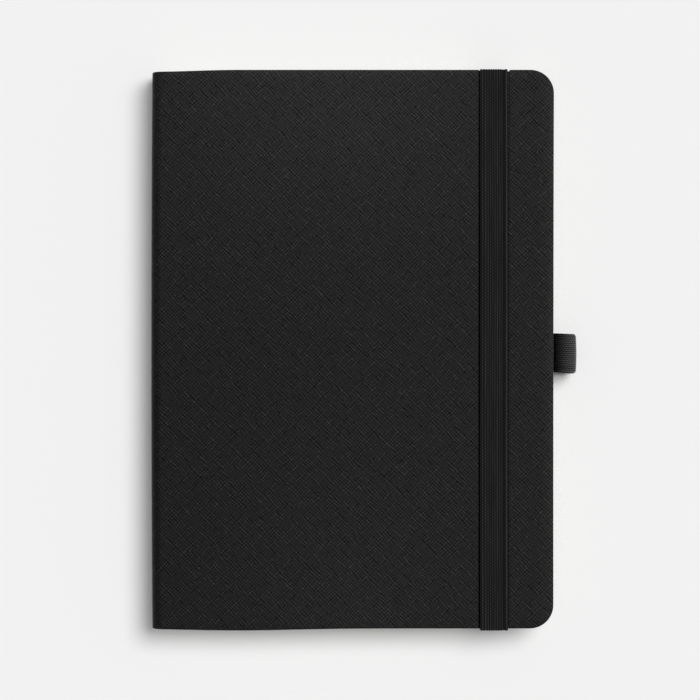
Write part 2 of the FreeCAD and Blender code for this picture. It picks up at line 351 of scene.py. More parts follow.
def hatch(mat, across, along, offset):
    """One set of pressed lines: nearly straight, unevenly spaced and broken into dashes."""
    def field(across_scale, along_scale, shift, roughness=0.5):
        spot = mat.combine(mat.level(across, gain=across_scale, offset=offset[0] + shift),
                           mat.level(along, gain=along_scale, offset=offset[1] - shift))
        return mat.noise(spot, scale=1.0, roughness=roughness)

    def wander(noise, amount):
        return mat.mul(mat.sub(noise, 0.5), amount)

    broad = wander(field(0.30, 0.075, shift=0.0), amount=2.9)
    small = wander(field(0.75, 0.30, shift=9.0, roughness=0.6), amount=1.25)
    lines = mat.wave(mat.add(across, mat.add(broad, small)),
                     wave_number=2 * math.pi / GRAIN_PITCH * math.sqrt(0.5))
    dashes = mat.level(field(0.62, 0.46, shift=20.0, roughness=0.6),
                       gain=3.6, offset=-1.3, clamp=True)
    return mat.mul(lines, mat.level(dashes, gain=0.75, offset=0.25))


def cover_material(name, band_shadows=False):
    """Near-black coated cloth with an irregular, fine, crossed diagonal grain."""
    mat = Material(name)
    u, v, place = mat.uv()

    def shifted(x, y):
        return mat.vector("ADD", place, (x, y, 0))

    rising, falling = mat.add(u, v), mat.sub(u, v)
    down_right = hatch(mat, rising, falling, offset=(3.0, 0.0))
    up_right = hatch(mat, falling, rising, offset=(41.0, 17.0))
    # patches where one set or the other is pressed more deeply
    patch = mat.noise(shifted(7.0, 90.0), scale=0.20, roughness=0.6)
    down_depth = mat.level(patch, gain=2.6, offset=-0.45, clamp=True)
    up_depth = mat.level(patch, gain=-2.6, offset=1.84, clamp=True)
    grain = mat.add(mat.mul(down_right, mat.level(down_depth, gain=0.25, offset=0.17)),
                    mat.mul(up_right, mat.level(up_depth, gain=0.25, offset=0.16)))
    # smoother spots where the pressing hardly took
    took = mat.level(mat.noise(shifted(33.0, 5.0), scale=0.27),
                     gain=4.2, offset=-1.35, clamp=True)
    grain = mat.mul(grain, mat.level(took, gain=0.95, offset=0.25))
    pebble = mat.noise(place, scale=2.3, roughness=0.6)
    fine = mat.noise(place, scale=5.5, roughness=0.6)
    height = mat.add(mat.level(pebble, gain=0.45, offset=grain), mat.mul(fine, 0.12))
    large = mat.noise(place, scale=0.02, detail=3, roughness=0.55)

    # broad tone: a faint slope along u, the spots, painted shade by the spine, painted highlight along
    # the fore-edge
    broad = mat.mul(u, 0.00022)
    for centre_u, centre_v, radius_u, radius_v, gain in TONE_SPOTS:
        x = mat.ratio(u, centre_u, radius_u)
        y = mat.ratio(v, centre_v, radius_v)
        broad = mat.level(mat.bell(mat.level(x, x, mat.mul(y, y))), gain=gain, offset=broad)
    spine_shade = mat.smooth_range(u, start=-76.5, end=-71.5, low=-0.075, high=0.0)
    # painted highlight where the fore-edge's rounding catches the light
    fore_highlight = mat.smooth_range(u, start=70.5, end=74.5, low=0.0, high=0.085)
    broad = mat.add(broad, mat.add(spine_shade, fore_highlight))

    tone = mat.level(large, gain=0.12, offset=mat.add(broad, 0.152))
    tone = mat.level(grain, gain=0.81, offset=tone)
    tone = mat.level(pebble, gain=0.34, offset=tone, clamp=True)
    colour = mat.ramp(tone, [(0.0, 0.0012), (0.40, 0.0076), (1.0, 0.0310)])
    specular = 0.09
    if band_shadows:
        # painted shadow along the band's two edges, where they have pressed creases into the covering
        def painted_shadow_line(centre, width, amount):
            x = mat.ratio(u, centre, width)
            return mat.level(mat.bell(mat.mul(x, x)), gain=-amount, offset=1.0)

        keep = painted_shadow_line(CREASE_X, width=0.52, amount=0.93)
        keep = mat.mul(keep, painted_shadow_line(BAND_X + BAND_HALF + 0.22, width=0.26, amount=0.50))
        colour = mat.multiply_colours(colour, mat.combine(keep, keep, keep))
        specular = mat.mul(keep, specular)
    roughness = mat.level(grain, gain=-0.10, offset=mat.level(large, gain=0.10, offset=0.56))
    return mat.shade(colour, roughness, mat.bump(height, distance=0.00018, strength=0.75),
                     specular=specular, sheen=0.16, sheen_roughness=0.30)


def elastic_material(name, ribs, pick, sheen=0.0, painted_light_span=None, rim=0.0):
    """Woven black elastic. u counts the ribs across the strip from its middle, v runs along it in mm.
    pick: strength of the weft. rim: extra tone of the selvedge rib at the +u side.
    The span of painted light, along v: where the painted light on the outside starts, is full, begins
    to fade and has faded; short of it, near the book, the colour is painted far darker as shade."""
    mat = Material(name)
    u, v, _ = mat.uv()
    rib = mat.math("ABSOLUTE", mat.wave(u, math.pi))
    # picks of the weft, opposed on alternate ribs
    rib_index = mat.math("FLOOR", u)
    along = mat.mul(v, 2 * math.pi / 1.15)
    weft = mat.math("SINE", mat.level(rib_index, gain=math.pi, offset=along))
    # each rib has its own strength, which wanders along it
    per_rib = mat.noise(mat.combine(mat.mul(rib_index, 3.71), mat.mul(v, 0.05)), scale=1.0)
    pick_noise = mat.noise(mat.combine(mat.mul(u, 0.10), mat.mul(v, 0.16)),
                           scale=1.0, detail=3, roughness=0.7)
    picks = mat.level(pick_noise, gain=2.4, offset=-0.65, clamp=True)
    fibres = mat.noise(mat.combine(mat.mul(u, 2.6), mat.mul(v, 0.9)),
                       scale=2.0, detail=3, roughness=0.65)
    # the selvedge ribs are knotted more strongly than the others
    selvedges = mat.math("GREATER_THAN", mat.math("ABSOLUTE", u), ribs / 2 - 1.0)
    knots = mat.mul(weft, mat.add(mat.mul(picks, pick),
                                  mat.level(selvedges, gain=0.25, offset=0.05)))
    height = mat.level(fibres, gain=0.45, offset=knots)
    last_rib = mat.math("GREATER_THAN", u, ribs / 2 - 1.0)
    strength = mat.level(last_rib, gain=rim, offset=mat.level(per_rib, gain=0.75, offset=0.45))
    if rim:
        # the last rib has a crest in its middle, and the one inside it is a groove, painted dark as
        # shade
        crest = mat.math("ABSOLUTE", mat.math("COSINE", mat.mul(u, math.pi)))
        rib = mat.add(mat.mul(crest, last_rib), mat.mul(rib, mat.sub(1.0, last_rib)))
        groove = mat.mul(mat.math("GREATER_THAN", u, ribs / 2 - 2.0),
                         mat.math("LESS_THAN", u, ribs / 2 - 1.0))
        strength = mat.mul(strength, mat.level(groove, gain=-0.85, offset=1.0))
    tone = mat.mul(mat.math("POWER", rib, 1.7), strength)
    tone = mat.add(mat.mul(tone, 0.82), mat.level(height, gain=0.42, offset=-0.13), clamp=True)
    colour = mat.ramp(tone, [(0.0, 0.0012), (0.45, 0.0098), (1.0, 0.0400)])
    specular = 0.10
    # painted light and shade along the loop: far darker near the book as painted shade, lighter on its
    # outer side as painted highlight, with the sheen and specular following
    if painted_light_span:
        start, full, fade, faded = painted_light_span
        painted_light = mat.mul(mat.smooth_range(v, start=start, end=full, low=0.0, high=1.0),
                       mat.smooth_range(v, start=fade, end=faded, low=1.0, high=0.2))
        colour = mat.vector("SCALE", colour, mat.level(painted_light, gain=3.08, offset=0.11))
        sheen = mat.mul(painted_light, sheen)
        specular = mat.level(painted_light, gain=0.12, offset=0.03)
    return mat.shade(colour, 0.74, mat.bump(height, distance=0.00012, strength=0.8),
                     specular=specular, sheen=sheen, sheen_roughness=0.45)


def paper_material(name, colour, depth=0.00006, stretch=(1.0, 1.0, 1.0), big_scale=0.035,
                   mid_scale=0.8, mid_detail=3, mid_roughness=0.6, fine_scale=4.5,
                   dark=0.93, stops=(0.25, 0.75)):
    """Paper mottled at three scales, between the colour and the colour times dark."""
    mat = Material(name)
    place = mat.vector("MULTIPLY", mat.position(), stretch)
    big = mat.noise(place, scale=big_scale, detail=3)
    mid = mat.noise(place, scale=mid_scale, detail=mid_detail, roughness=mid_roughness)
    fine = mat.noise(place, scale=fine_scale, roughness=0.65)
    tone = mat.add(mat.mul(big, 0.35), mat.add(mat.mul(mid, 0.35), mat.mul(fine, 0.30)))
    red, green, blue = colour
    shadow = (red * dark, green * dark, blue * dark * 0.985)
    height = mat.add(mat.mul(mid, 0.6), fine)
    return mat.shade(mat.ramp(tone, [(stops[0], shadow), (stops[1], colour)]), 0.88,
                     mat.bump(height, distance=depth, strength=0.8), specular=0.2)


def thread_material():
    mat = Material("thread_twist")
    _, y, z = mat.split(mat.position())
    twist = mat.wave(mat.add(y, mat.mul(z, 2.0)), wave_number=2 * math.pi / 0.5)
    colour = mat.ramp(mat.level(twist, gain=0.5, offset=0.5),
                      [(0.0, (0.58, 0.55, 0.48)), (1.0, (0.84, 0.82, 0.76))])
    return mat.shade(colour, 0.6, mat.bump(twist, distance=0.00005, strength=0.8))


def weave_material(name, dark, light, pitch):
    mat = Material(name)
    place = mat.position()
    x, y, z = mat.split(place)
    wave_number = 2 * math.pi / pitch
    weave = mat.mul(mat.wave(y, wave_number), mat.wave(mat.add(z, x), wave_number))
    tone = mat.level(weave, gain=0.35, offset=mat.noise(place, scale=1.5))
    return mat.shade(mat.ramp(tone, [(0.1, dark), (0.9, light)]), 0.85,
                     mat.bump(weave, distance=0.00008, strength=0.8))


def board_material():
    mat = Material("grey_board")
    place = mat.position()
    clouds = mat.noise(place, scale=0.5, detail=4, roughness=0.65)
    specks = mat.noise(place, scale=6.0, detail=3, roughness=0.7)
    tone = mat.level(specks, gain=0.5, offset=mat.mul(clouds, 0.5))
    colour = mat.ramp(tone, [(0.3, (0.26, 0.23, 0.19)), (0.7, (0.44, 0.40, 0.34))])
    return mat.shade(colour, 0.92, mat.bump(tone, distance=0.0002, strength=0.6))


def glue_material():
    mat = Material("dried_glue")
    lumps = mat.noise(mat.position(), scale=0.7, detail=3)
    colour = mat.ramp(lumps, [(0.3, (0.62, 0.58, 0.46)), (0.7, (0.80, 0.77, 0.66))])
    return mat.shade(colour, 0.38, mat.bump(lumps, distance=0.0003, strength=0.6))


COVER = cover_material("cover_grain")
COVER_FRONT = cover_material("cover_grain_front", band_shadows=True)
BAND_ELASTIC = elastic_material("band_elastic", ribs=11, pick=0.40, sheen=0.08, rim=0.10)
# the loop's colour carries painted shade near the book and painted highlight on its outer side
LOOP_ELASTIC = elastic_material("loop_elastic", ribs=19, pick=0.50, sheen=0.24,
                                painted_light_span=(5.5, 14.5, 17.5, 25.0))
PAPER = paper_material("drawing_paper", (0.80, 0.785, 0.735))
# on the trimmed edges the tone runs in streaks along the leaves
LEAF_EDGES = paper_material("leaf_edges", (0.78, 0.76, 0.70), stretch=(0.02, 0.02, 1.0),
                            big_scale=0.62, mid_scale=1.9, mid_detail=4, mid_roughness=0.75,
                            fine_scale=6.0, dark=0.66, stops=(0.40, 0.60))
ENDPAPER = paper_material("endpaper", (0.77, 0.745, 0.68), depth=0.000096)
THREAD = thread_material()
MULL = weave_material("lining_cloth", dark=(0.50, 0.48, 0.42), light=(0.78, 0.76, 0.69),
                      pitch=0.8)
HEADBAND = weave_material("headband_weave", dark=(0.010, 0.010, 0.011),
                          light=(0.05, 0.05, 0.052), pitch=1.1)
BOARD = board_material()
GLUE = glue_material()


# ---- the covers' shape -----------------------------------------------------------------------------
def outline_warp(points):
    """Departures of the covering and boards from a true outline."""
    points = points.copy()
    x, y = points[:, 0].copy(), points[:, 1].copy()
    up = y / HALF_Y
    tail = np.clip(-up, 0, 1) ** 3
    head = np.clip(up, 0, 1) ** 3
    # the spine bows out at mid height
    points[:, 0] -= 0.42 * (1 - up ** 2) * (1 - smooth_step((x - HINGE_X) / 45.0))
    # the tail edge swells towards the spine, and the head edge falls away there
    points[:, 1] -= 0.78 * np.exp(-((x + 44.0) / 30.0) ** 2) * tail
    points[:, 1] -= 0.72 * (1 - smooth_step((x - SPINE_X) / 33.0)) * head
    # the fore-edge runs slightly askew
    askew = 0.25 + 0.12 * up + 0.10 * up ** 2
    points[:, 0] += askew * np.clip((x - 20.0) / (FORE_X - 20.0), 0, 1)
    # the band has pressed into the head edge
    notch = smooth_step((BAND_HALF + 0.75 - np.abs(x - BAND_X)) / 0.7)
    points[:, 1] -= 0.60 * notch * smooth_step((y - HALF_Y + HEAD_PRESS) / HEAD_PRESS)
    return points


def corner_map(grid_x, grid_y):
    """Bends the square corner zones of a rectangular grid into quarter discs."""
    centre_x, centre_y = FORE_X - CORNER_R, HALF_Y - CORNER_R
    u = np.clip((grid_x - centre_x) / CORNER_R, 0, None)
    v = np.clip((np.abs(grid_y) - centre_y) / CORNER_R, 0, None)
    both = (u > 0) & (v > 0)
    u, v = np.minimum(u, 1), np.minimum(v, 1)
    disc_x = centre_x + CORNER_R * u * np.sqrt(1 - v * v / 2)
    disc_y = np.sign(grid_y) * (centre_y + CORNER_R * v * np.sqrt(1 - u * u / 2))
    return np.where(both, disc_x, grid_x), np.where(both, disc_y, grid_y)


def edge_distance(x, y):
    """Distance inwards from the cover's head, tail and fore-edge."""
    past_x, past_y = x - (FORE_X - CORNER_R), np.abs(y) - (HALF_Y - CORNER_R)
    both = (past_x > 0) & (past_y > 0)
    return np.where(both, CORNER_R - np.hypot(past_x, past_y),
                    np.minimum(FORE_X - x, HALF_Y - np.abs(y)))


def pillow(x, y):
    return PILLOW * (1 - (x / FORE_X) ** 2) * (1 - (y / HALF_Y) ** 2)


# grid lines: distances in from an edge, then offsets from the crease and the band's fore-edge side
EDGE_LINES = [0, 0.03, 0.08, 0.15, 0.24, 0.34, 0.45, 0.55, 0.8, 1.3, 2.0, 3.0, 4.2, 5.4, 6.6,
              TURN_IN, TURN_IN + 0.03, CORNER_R]
CREASE_LINES = [-1.0, -0.7, -0.5, -0.35, -0.2, -0.08, 0.05, 0.18, 0.32, 0.5, 0.75, 1.2]
BAND_EDGE_LINES = [-1.0, -0.4, -0.2, 0.0, 0.2, 0.4, 0.6, 0.8, 1.1]
Y_LINES = ([-HALF_Y + d for d in EDGE_LINES]
           + list(np.linspace(-HALF_Y + CORNER_R, HALF_Y - CORNER_R, 34)[1:-1])
           + [HALF_Y - d for d in EDGE_LINES[::-1]])
X_LINES = ([x for x in np.linspace(HINGE_X, FORE_X - CORNER_R, 26)[:-1]
            if not (BAND_X - 6.6 < x < BAND_X - 3.9 or BAND_X + 3.9 < x < BAND_X + 6.7)]
           + [CREASE_X + d for d in CREASE_LINES]
           + [BAND_X + BAND_HALF + d for d in BAND_EDGE_LINES]
           + [FORE_X - d for d in EDGE_LINES[::-1]])


def elastic_recesses(clearance):
    """Recesses in the back cover for the band's two ends and the loop's tab: x0, x1, y0, y1."""
    x0, x1 = BAND_X - BAND_HALF - clearance, BAND_X + BAND_HALF + clearance
    reach = BAND_END + clearance
    return [(x0, x1, HALF_Y - reach, HALF_Y + 1),
            (x0, x1, -HALF_Y - 1, -HALF_Y + reach),
            (LOOP_TAB_X - 0.1 - clearance, FORE_X + 1, LOOP_Y0 - clearance, LOOP_Y1 + clearance)]


def within(x, y, recess, margin=0.0):
    x0, x1, y0, y1 = recess
    return (x > x0 - margin) & (x < x1 + margin) & (y > y0 - margin) & (y < y1 + margin)


def cover_plate(side):
    """A cover's covering, turned in over the board, with the board's recess inside."""
    front = side == "front"
    recesses = [] if front else elastic_recesses(clearance=0.1)
    cuts_x = {x for recess in recesses for x in recess[:2] if x < FORE_X - CORNER_R}
    cuts_y = {y for recess in recesses for y in recess[2:] if abs(y) < HALF_Y - CORNER_R}
    # a close pair of lines at each recess wall
    lines_x = sorted(X_LINES + [cut + d for cut in cuts_x for d in (-0.015, 0.015)])
    lines_y = sorted(Y_LINES + [cut + d for cut in cuts_y for d in (-0.015, 0.015)])
    grid_x, grid_y = np.meshgrid(lines_x, lines_y, indexing="ij")
    x, y = corner_map(grid_x, grid_y)
    distance = edge_distance(x, y)

    # depths below the outer face, which is a little compressed over the board's last few mm
    compressed = np.clip(1 - distance / 4.4, 0, 1) ** 2 * smooth_step((x - HINGE_X) / 6.0)
    outer_z = round_drop(distance, OUTER_EDGE_R) + 0.16 * compressed
    inner_z = np.where(distance <= TURN_IN + 0.01,
                       COVER_Z - round_drop(distance, INNER_EDGE_R), SKIN_Z)
    for recess in recesses:
        inner_z = np.where(within(grid_x, grid_y, recess) & (inner_z > 0.9),
                           0.90 - round_drop(distance, 0.3), inner_z)
    if front:
        # creases pressed by the band's two edges
        outer_z += 0.36 * np.exp(-((x - CREASE_X) / CREASE_W) ** 2)
        outer_z += 0.07 * np.exp(-((x - BAND_X - BAND_HALF - 0.15) / 0.25) ** 2)
        outer_z = BOOK_Z - outer_z + pillow(x, y) * smooth_step((x - HINGE_X) / 12.0)
        inner_z = BOOK_Z - inner_z
    uv = np.stack([x, y if front else -y + 3.3], -1)
    patches = shell(np.stack([x, y, outer_z], -1), np.stack([x, y, inner_z], -1), uv)
    return build(side + "_cover_covering", patches, [COVER_FRONT if front else COVER],
                 sharp=50, warp=outline_warp)


def board_plate(side):
    """The board, filling the recess between the turned-in edges."""
    inset = TURN_IN + 0.05
    lines_x = np.concatenate([[HINGE_X + 0.25],
                              np.linspace(HINGE_X + 2, FORE_X - inset - 2, 20),
                              [FORE_X - inset]])
    lines_y = np.linspace(-HALF_Y + inset, HALF_Y - inset, 28)
    x, y = np.meshgrid(lines_x, lines_y, indexing="ij")
    outer_z = np.full_like(x, SKIN_Z + 0.01)
    inner_z = np.full_like(x, COVER_Z - 0.01)
    if side == "front":
        outer_z, inner_z = BOOK_Z - outer_z, BOOK_Z - inner_z
    else:
        for recess in elastic_recesses(clearance=0.2):
            inner_z = np.where(within(x, y, recess, margin=4), 0.89, inner_z)
    patches = shell(np.stack([x, y, outer_z], -1), np.stack([x, y, inner_z], -1),
                    np.stack([x, y], -1))
    return build(side + "_board_card", patches, [BOARD], warp=outline_warp)


for side in ("front", "back"):
    attach(cover_plate(side), "cover", side + "_cover_skin", ride=side + "_cover")
for side in ("front", "back"):
    attach(board_plate(side), "board", side + "_board", ride=side + "_cover")


# ---- the spine -------------------------------------------------------------------------------------
def spine_strip(name, start, end, stations):
    """Covering between two arc lengths, measured round the spine from the back cover's hinge."""
    length = np.linspace(start, end, stations)
    straight = np.clip(length - BEND_ARC, 0, SPINE_FLAT)
    angle = -math.pi / 2 - (length - straight) / BEND_R
    out_x, out_z = np.cos(angle), np.sin(angle)
    x = HINGE_X + BEND_R * out_x
    z = BEND_R + straight + BEND_R * out_z
    lines_y = np.array(Y_LINES)
    distance = HALF_Y - np.abs(lines_y)
    outer_depth = round_drop(distance, OUTER_EDGE_R)
    # two thicknesses of covering where it is turned in
    inner_depth = np.where(distance <= TURN_IN + 0.01,
                           2 * SKIN_Z - round_drop(distance, INNER_EDGE_R), SKIN_Z)
    grid_length, grid_y = np.meshgrid(length, lines_y, indexing="ij")

    def surface(depth):
        return np.stack([x[:, None] - out_x[:, None] * depth, grid_y,
                         z[:, None] - out_z[:, None] * depth], -1)

    total = 2 * BEND_ARC + SPINE_FLAT
    uv = np.stack([HINGE_X - (total - grid_length), grid_y], -1)
    return build(name, shell(surface(outer_depth), surface(inner_depth), uv), [COVER],
                 sharp=50, warp=outline_warp)


def spine_card():
    """The card inside the spine, short of the turned-in ends."""
    reach = HALF_Y - TURN_IN - 0.1
    y, z = np.meshgrid(np.linspace(-reach, reach, 24),
                       np.linspace(BEND_R, BOOK_Z - BEND_R, 8), indexing="ij")
    outer, inner = (np.stack([np.full_like(y, SPINE_X + SKIN_Z + depth), y, z], -1)
                    for depth in (0.01, 0.4))
    return build("spine_card_strip", shell(outer, inner, np.stack([y, z], -1)), [BOARD],
                 warp=outline_warp)


# where the covering's pieces meet: arc lengths, and points in the XZ plane
FLAT_END = BEND_ARC + SPINE_FLAT
HALF_BEND = FLAT_END + BEND_ARC / 2
diagonal = BEND_R * math.sqrt(0.5)
back_hinge = (HINGE_X, 0, 0)
back_turn = (HINGE_X - BEND_R, 0, BEND_R)
front_turn = (HINGE_X - BEND_R, 0, BOOK_Z - BEND_R)
front_half_turn = (HINGE_X - diagonal, 0, BOOK_Z - BEND_R + diagonal)
front_hinge = (HINGE_X, 0, BOOK_Z)

attach(spine_strip("spine_bend_back", 0.0, BEND_ARC, 25), "cover",
       blend=("back_cover", "spine", back_hinge, back_turn))
attach(spine_strip("spine_flat", BEND_ARC, FLAT_END, 13), "cover", "spine_skin", ride="spine")
attach(spine_strip("spine_bend_front_lower", FLAT_END, HALF_BEND, 13), "cover",
       blend=("spine", "front_block", front_turn, front_half_turn))
attach(spine_strip("spine_bend_front_upper", HALF_BEND, FLAT_END + BEND_ARC, 17), "cover",
       blend=("front_block", "front_cover", front_half_turn, front_hinge))
attach(spine_card(), "board", "spine_card", ride="spine")


# ---- leaves ----------------------------------------------------------------------------------------
# grid lines: fractions of the half height, distances in from the fore-edge and out from the fold
HEIGHT_STEPS = np.array([-1, -0.985, -0.96, -0.9, -0.7, -0.4, -0.1,
                         0.2, 0.5, 0.75, 0.9, 0.96, 0.985, 1])
EDGE_STEPS = np.array([0, 0.25, 0.8, 1.7, 2.9, 4.2, 5.6, LEAF_CORNER_R])
FOLD_STEPS = np.concatenate([np.linspace(0.0, 16, 17)[1:], [19, 24, 32, 45, 65, 90, 115]])


def leaf_grid(x, z, edge, half_y):
    """Carries a line of (x, z) across the height of a leaf with rounded fore-edge corners."""
    past = np.clip(x - (edge - LEAF_CORNER_R), 0, LEAF_CORNER_R)
    rounded = np.sqrt(np.maximum(LEAF_CORNER_R ** 2 - past ** 2, 0))
    height = half_y - LEAF_CORNER_R + rounded
    shape = (len(x), len(HEIGHT_STEPS))
    return np.stack([np.broadcast_to(x[:, None], shape),
                     height[:, None] * HEIGHT_STEPS[None, :],
                     np.broadcast_to(z[:, None], shape)], -1)


def sheet_patches(centre_z, index, lower, upper):
    """One folded sheet of a section, or the half above or below the fold. Index 0 is outermost."""
    whole = lower and upper
    side = 1 if upper else -1
    middle_r = SECTION_Z / 2 - index * LEAF_PITCH - LEAF_PITCH / 2
    outer_r, inner_r = middle_r + LEAF_Z / 2, max(middle_r - LEAF_Z / 2, 0.004)
    fold_x = FOLD_X + SECTION_Z / 2
    # the trimmed edges step slightly from section to section and leaf to leaf
    step = 0.10 * math.sin(centre_z * 2.9) - 0.05
    edge = LEAF_X + step + rng.normal(0, 0.05)
    rng.normal(0, 0.05)     # an unused draw that keeps the later ones in their places
    half_y = LEAF_HALF_Y + (rng.normal(0, 0.03) + 0.6 * step)

    flat_edge = min(edge, LEAF_X + 0.06) if whole else edge
    near_fold = (fold_x + FOLD_STEPS)[::-1]
    near_fold = near_fold[near_fold < flat_edge - LEAF_CORNER_R - 2]
    flat_x = np.concatenate([flat_edge - EDGE_STEPS, near_fold, [fold_x]])

    angles = np.linspace(math.pi / 2, 3 * math.pi / 2, 9)
    if whole:
        angles = angles[1:-1]
    else:
        # a half stops short of the fold's middle
        angles = (angles if upper else angles[::-1])[1:5]
        angles = angles[np.abs(np.sin(angles)) * outer_r > 0.14]

    def surface(radius):
        x = [flat_x, fold_x + radius * np.cos(angles)]
        z = [np.full(len(flat_x), centre_z + side * radius), centre_z + radius * np.sin(angles)]
        if whole:
            x.append(flat_x[::-1])
            z.append(np.full(len(flat_x), centre_z - radius))
        return leaf_grid(np.concatenate(x), np.concatenate(z), edge, half_y)

    outer = surface(outer_r)
    return shell(outer, surface(inner_r), outer[..., :2], edge_slot=1)


def add_section(name, replaced, moves_with, centre_z, sheets=SHEETS, lower=True, upper=True):
    patches = []
    for index in range(sheets):
        patches += sheet_patches(centre_z, index, lower, upper)
    leaves = build(name, patches, [PAPER, LEAF_EDGES], sharp=35, merge=0.0008)
    start_x = FOLD_X + 0.7
    attach(leaves, "paper", replaced, blend=("spine", moves_with, (start_x, 0, centre_z),
                                             (start_x + LEAF_BEND, 0, centre_z)))


MIDDLE_SECTION = SECTIONS // 2
for index in range(SECTIONS):
    centre_z = BLOCK_Z0 + SECTION_Z * (index + 0.5)
    node = "section_%02d" % (index + 1)
    if index == MIDDLE_SECTION:
        # the book opens here; the front half's innermost leaf is the separate centre leaf
        add_section(node + "_back_leaves", node + "_back_half", "back_cover", centre_z,
                    upper=False)
        add_section(node + "_front_leaves", node + "_front_half", "front_block", centre_z,
                    sheets=SHEETS - 1, lower=False)
    else:
        moves_with = "back_cover" if index < MIDDLE_SECTION else "front_block"
        add_section(node + "_leaves", node, moves_with, centre_z)


def add_flat_leaf(node, slot, paper, half_y=None, edge_paper=None, fore_trim=0.0, top_gap=0.004,
                  bend=None, ride=None):
    """A single leaf in the place of its CAD piece.
    bend: (first part, second part, start and end from the leaf's spine side, z)."""
    low, high = node_box(node)
    start, edge = low[0], high[0] - fore_trim
    half_y = high[1] if half_y is None else half_y
    steps = np.concatenate([np.linspace(0, 20, 25), [24, 30, 40, 55, 75, 100, 125]])
    x = np.concatenate([start + steps, (edge - EDGE_STEPS)[::-1]])
    x = np.unique(np.round(x[x <= edge + 1e-6], 5))
    top = leaf_grid(x, np.full(len(x), high[2] - top_gap), edge, half_y)
    bottom = leaf_grid(x, np.full(len(x), low[2] + 0.004), edge, half_y)
    leaf = build(node + "_sheet", shell(top, bottom, top[..., :2], edge_slot=1),
                 [paper, edge_paper or paper], sharp=35, merge=0.0008)
    blend = None
    if bend:
        first, second, bend_start, bend_end, z = bend
        blend = (first, second, (start + bend_start, 0, z), (start + bend_end, 0, z))
    attach(leaf, slot, node, ride=ride, blend=blend)


add_flat_leaf("centre_leaf", "paper", PAPER, half_y=LEAF_HALF_Y, edge_paper=LEAF_EDGES,
              fore_trim=0.03, top_gap=0.008, bend=("spine", "centre_leaf", 0.1, 18, BOOK_Z / 2))
add_flat_leaf("front_flyleaf", "endpaper", ENDPAPER, half_y=LEAF_HALF_Y,
              bend=("front_block", "front_flyleaf", 0.2, 3.6, BOOK_Z))
add_flat_leaf("back_flyleaf", "endpaper", ENDPAPER, half_y=LEAF_HALF_Y,
              bend=("spine", "back_cover", 0.2, 9, 0))
add_flat_leaf("front_pastedown", "endpaper", ENDPAPER,
              bend=("front_block", "front_cover", 0.05, 2.6, BOOK_Z))
add_flat_leaf("back_pastedown", "endpaper", ENDPAPER, ride="back_cover")


# ---- elastics --------------------------------------------------------------------------------------
def ribbed_strip(path, borders, thick, width_axis, relief, rib_steps, selvedge, heights=None):
    """Top grid, bottom grid and UVs of a ribbed elastic strip.
    path: (n, 2) middle line, in YZ when the width lies along "x" and in XZ when along "y".
    borders: where each rib starts and ends, from the strip's middle.
    relief: height of the ribs, scaled by heights. selvedge: width of the rounded sides."""
    lengths = np.linalg.norm(np.diff(path, axis=0), axis=1)
    along = np.concatenate([[0], np.cumsum(lengths)])
    tangent = np.gradient(path, axis=0)
    tangent /= np.linalg.norm(tangent, axis=1)[:, None]
    normal = np.stack([-tangent[:, 1], tangent[:, 0]], -1)
    ribs = len(borders) - 1
    half_w = (borders[-1] - borders[0]) / 2
    middle = (borders[-1] + borders[0]) / 2
    phase = np.linspace(0, ribs, ribs * rib_steps + 1)
    across = np.interp(phase, np.arange(ribs + 1), borders)
    heights = np.ones(ribs) if heights is None else np.asarray(heights, float)
    rib_height = heights[np.minimum(phase.astype(int), ribs - 1)]
    rib = np.abs(np.sin(math.pi * phase)) ** 0.75 * rib_height
    inwards = np.clip((half_w - np.abs(across - middle)) / selvedge, 0, 1)
    side = np.sqrt(np.clip(1 - (1 - inwards) ** 2, 0, 1))
    base = thick / 2 * 0.1
    top = thick / 2 - relief + relief * rib
    top = -base + (top + base) * (0.15 + 0.85 * side)
    bottom = -(thick / 2 - relief * 0.4 + relief * 0.4 * rib) * (0.2 + 0.8 * side)
    shape = (len(path), len(across))
    width = np.broadcast_to(across[None, :], shape)

    def place(offset):
        line = path[:, None, :] + normal[:, None, :] * offset[None, :, None]
        first, second = line[..., 0], line[..., 1]
        order = (width, first, second) if width_axis == "x" else (first, width, second)
        return np.stack(order, -1)

    uv = np.stack([np.broadcast_to((phase - ribs / 2)[None, :], shape),
                   np.broadcast_to(along[:, None], shape)], -1)
    return place(top), place(bottom), uv


def heading(vector):
    return math.atan2(vector[1], vector[0])


def polar(angle):
    return np.array([math.cos(angle), math.sin(angle)])


def rounded_path(corners, radii, steps=9):
    """A polyline whose inner corners are rounded."""
    corners = [np.array(corner, float) for corner in corners]
    points = [corners[0]]
    for before, corner, after, radius in zip(corners, corners[1:], corners[2:], radii):
        back = (before - corner) / np.linalg.norm(before - corner)
        ahead = (after - corner) / np.linalg.norm(after - corner)
        half_angle = math.acos(np.clip(back @ ahead, -1, 1)) / 2
        inset = radius / math.tan(half_angle)
        bisector = (back + ahead) / np.linalg.norm(back + ahead)
        centre = corner + bisector * radius / math.sin(half_angle)
        start = heading(corner + back * inset - centre)
        end = heading(corner + ahead * inset - centre)
        turn = (end - start + math.pi) % (2 * math.pi) - math.pi
        points += [centre + radius * polar(start + turn * t) for t in np.linspace(0, 1, steps)]
    return points + [corners[-1]]


def subdivide(points, longest):
    """Splits a polyline so that no step is longer than the given length."""
    result = [points[0]]
    for start, end in zip(points[:-1], points[1:]):
        length = np.linalg.norm(end - start)
        if length < 1e-6:
            continue
        count = max(1, int(math.ceil(length / longest)))
        result += [start + (end - start) * i / count for i in range(1, count + 1)]
    return np.array(result)


# eleven ribs, the tenth a low groove inside the selvedge rib that faces the fore-edge
BAND_NOMINAL_W = 10.5
BAND_BORDERS = np.array([0.0, 0.98, 2.12, 3.05, 4.00, 4.80, 5.65, 6.60, 7.55, 8.45, 9.45, 10.60])
BAND_RIB_HEIGHTS = [1.0, 0.9, 0.8, 0.9, 0.85, 0.9, 0.8, 0.9, 0.8, 0.12, 1.05]


